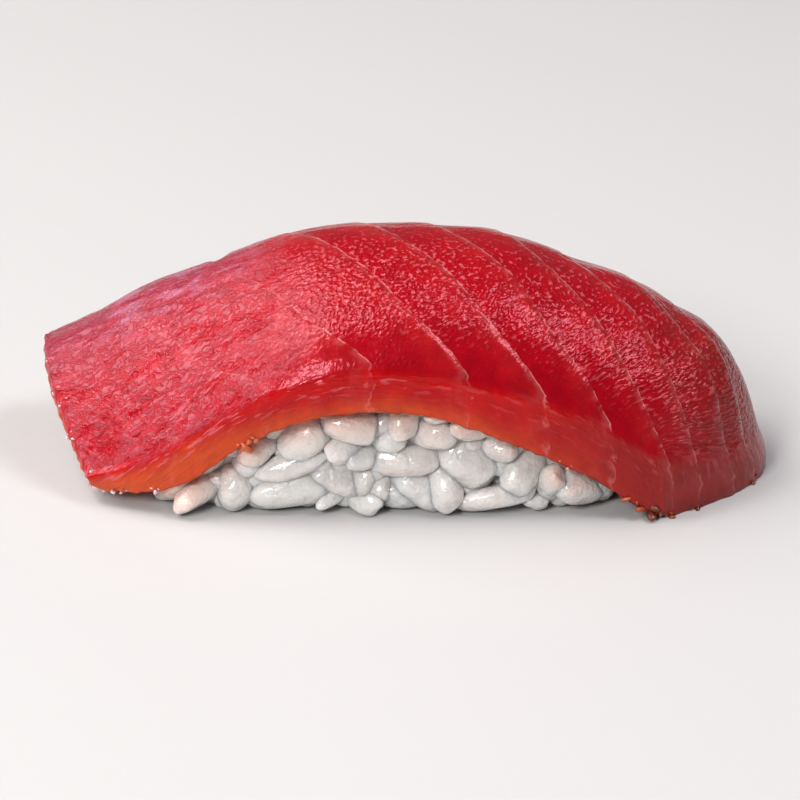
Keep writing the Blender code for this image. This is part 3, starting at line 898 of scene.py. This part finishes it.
def riceMaterial():
    look = riceLook
    material, tree, shader = startMaterial("cookedRice")
    where = put(tree, "ShaderNodeTexCoord").outputs["Object"]
    grain, chance, below, height = stored(tree, "grain")
    millimetres = moved(tree, where, (1 / mm, 1 / mm, 1 / mm))
    # painted pink bounce light from the fish above, a little greyer at the foot, each grain its own shade
    fishBounce = calc(tree, "MULTIPLY", between(tree, below, 6.0, 0.4), 0.9)
    colour = mixColour(tree, fishBounce, look["white"], look["fishBounce"])
    colour = mixColour(tree, between(tree, chance, 0.55, 0.95, 0.0, 0.7), colour, look["clear"])
    colour = mixColour(tree, between(tree, height, 2.0, 0.2, 0.0, 0.4), colour, look["footGrey"])
    cloudy = cloud(tree, millimetres, 1.6, 2.0)
    shade = calc(tree, "ADD", between(tree, chance, 0.0, 1.0, 0.90, 1.04), between(tree, cloudy, 0.3, 0.7, -0.05, 0.05))
    shadeColour = put(tree, "ShaderNodeCombineColor", {0: shade, 1: shade, 2: shade}).outputs[0]
    colour = mixColour(tree, 1.0, colour, shadeColour, "MULTIPLY")
    tree.links.new(colour, shader.inputs["Base Color"])
    bumps = calc(tree, "MULTIPLY", cloud(tree, millimetres, 0.9, 3.0), 0.46)
    pores = calc(tree, "MULTIPLY", cloud(tree, millimetres, 0.4, 1.0), 0.07)
    addBump(tree, shader, calc(tree, "ADD", bumps, pores))
    shader.inputs["Roughness"].default_value = look["roughness"]
    shader.inputs["IOR"].default_value = look["ior"]
    shader.inputs["Subsurface Weight"].default_value = look["glow"]
    shader.inputs["Coat Weight"].default_value = look["filmAndSheen"]
    shader.inputs["Coat Roughness"].default_value = look["filmRoughness"]
    shader.inputs["Subsurface Radius"].default_value = (1.0, 0.8, 0.68)
    shader.inputs["Subsurface Scale"].default_value = 2.3 * mm
    return material


dice = random.Random(rice["seed"])
front, backing, wall = layFront(dice), layBacking(dice), layWall(dice)
laid = packGrains(front + backing + wall)
print("rice:", len(laid), "grains")
riceFinish = riceMaterial()
for name, grains, cuts in (("riceFront", laid[:len(front)], (20, 14)), ("riceGrains", laid[len(front):], (10, 7))):
    grainPiece = addPiece(settle(buildGrainMesh(name, grains, cuts)), riceFinish, "cooked_rice", "rice_ball")
    rounding = grainPiece.modifiers.new("rounding", "SUBSURF")
    rounding.levels = 1
    rounding.render_levels = 1
addPiece(settle(buildCoreMesh()), riceFinish, "cooked_rice", "rice_ball")


# floor, light and camera

studio = {
    "floorTone": (0.52, 0.515, 0.51, 1),
    "floorSize": 3.0,
    "ambient": 0.12,
    "target": (-0.5, 0.0, 7.6),
    "distance": 360.0,
    "elevation": 27.0,
    "lens": 150.7,
}

# name, direction from the food, distance, width, height, power, tint
softboxes = (
    ("keyLight", (-0.70, 0.14, 0.70), 0.60, 0.50, 0.50, 3.3, (1.0, 0.97, 0.95)),
    ("sparkLight", (-0.42, 0.06, 0.90), 0.60, 0.18, 0.18, 1.3, (1.0, 0.97, 0.95)),
    ("rimLight", (0.55, -0.12, 0.83), 0.60, 0.24, 0.24, 1.9, (0.98, 0.95, 1.0)),
    ("fillLight", (-0.42, -0.70, 0.58), 0.70, 0.22, 0.22, 3.3, (1.0, 0.99, 0.98)),
)


def addFloor():
    block = bmesh.new()
    bmesh.ops.create_grid(block, x_segments=1, y_segments=1, size=studio["floorSize"] / 2)
    mesh = meshFrom(block, "floor")
    material, tree, shader = startMaterial("floorPaint")
    shader.inputs["Base Color"].default_value = studio["floorTone"]
    shader.inputs["Roughness"].default_value = 0.6
    mesh.materials.append(material)
    floor = bpy.data.objects.new("floor", mesh)
    bpy.context.scene.collection.objects.link(floor)


def addSoftbox(name, way, distance, width, height, power, tint):
    lamp = bpy.data.lights.new(name, "AREA")
    lamp.shape = "RECTANGLE"
    lamp.size, lamp.size_y = width, height
    lamp.energy = power
    lamp.color = tint
    box = bpy.data.objects.new(name, lamp)
    bpy.context.scene.collection.objects.link(box)
    way = Vector(way).normalized()
    box.location = Vector((0, 0, 12 * mm)) + way * distance
    box.rotation_euler = (-way).to_track_quat("-Z", "Y").to_euler()


def addCamera():
    lens = bpy.data.cameras.new("camera")
    lens.lens = studio["lens"]
    lens.sensor_width = 36.0
    lens.clip_start = 0.01
    camera = bpy.data.objects.new("camera", lens)
    bpy.context.scene.collection.objects.link(camera)
    lift = math.radians(studio["elevation"])
    back = Vector((0, -math.cos(lift), math.sin(lift)))
    target = Vector((np.array(studio["target"]) + shift) * mm)
    camera.location = target + back * studio["distance"] * mm
    camera.rotation_euler = (-back).to_track_quat("-Z", "Y").to_euler()
    bpy.context.scene.camera = camera


addFloor()
for softbox in softboxes:
    addSoftbox(*softbox)
world = bpy.data.worlds.new("studio")
world.use_nodes = True
world.node_tree.nodes["Background"].inputs["Color"].default_value = (0.95, 0.97, 1.0, 1)
world.node_tree.nodes["Background"].inputs["Strength"].default_value = studio["ambient"]
bpy.context.scene.world = world
bpy.context.scene.view_settings.view_transform = "Standard"
addCamera()
print("studio ready")
